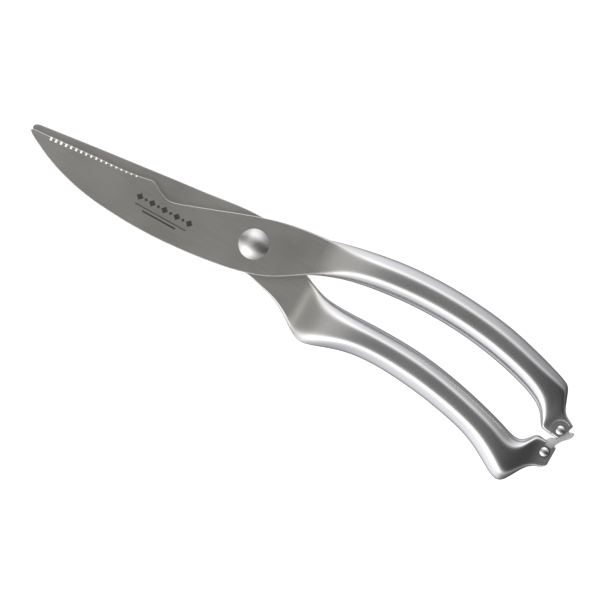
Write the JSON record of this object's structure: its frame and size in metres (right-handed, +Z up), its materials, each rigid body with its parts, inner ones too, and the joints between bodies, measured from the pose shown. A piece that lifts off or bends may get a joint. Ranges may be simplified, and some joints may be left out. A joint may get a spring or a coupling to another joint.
{
  "type": "poultry shears",
  "caption": "All-steel poultry shears with curved blades, fine edge scallops, a bone notch, hollow bowed handles and a swinging latch at the handle ends.",
  "frame": {"origin": "centre of the pivot's flat rear head, on the plane the shears rest on, which is the pivot axis at Z = 0", "axes": "+X from the pivot towards the handle ends, +Y towards the handle of the front blade, +Z up out of the front faces"},
  "size_m": [0.2501, 0.0588, 0.013],
  "materials": {
    "blade_steel": "fine satin, ground flat",
    "handle_steel": "satin, brushed along the handle",
    "polished_steel": "bright satin",
    "spring_steel": "drawn wire",
    "latch_steel": "tumbled, dull"
  },
  "bodies": {
    "lower_half": {"rear_blade": "blade_steel", "lower_handle_front_shell": "handle_steel", "lower_handle_rear_shell": "handle_steel", "lower_end_front_sheet": "handle_steel", "lower_end_rear_sheet": "handle_steel", "latch_pin": "polished_steel", "pivot_rivet": "polished_steel", "pivot_rear_head": "polished_steel", "pivot_washer": "polished_steel", "pivot_spring": "spring_steel"},
    "upper_half": {"front_blade": "blade_steel", "upper_handle_front_shell": "handle_steel", "upper_handle_rear_shell": "handle_steel", "upper_end_front_sheet": "handle_steel", "upper_end_rear_sheet": "handle_steel", "catch_pin": "polished_steel"},
    "latch": {"latch_lever": "latch_steel"}
  },
  "joints": [
    {"name": "blade_pivot", "type": "hinge", "parent": "lower_half", "child": "upper_half", "pos_m": [0, 0, 0.0065], "axis": [0, 0, 1], "range_deg": [0, 40]},
    {"name": "latch_swing", "type": "hinge", "parent": "lower_half", "child": "latch", "pos_m": [0.1419, -0.0164, 0.0065], "axis": [0, 0, 1], "range_deg": [-70, 4]}
  ]
}
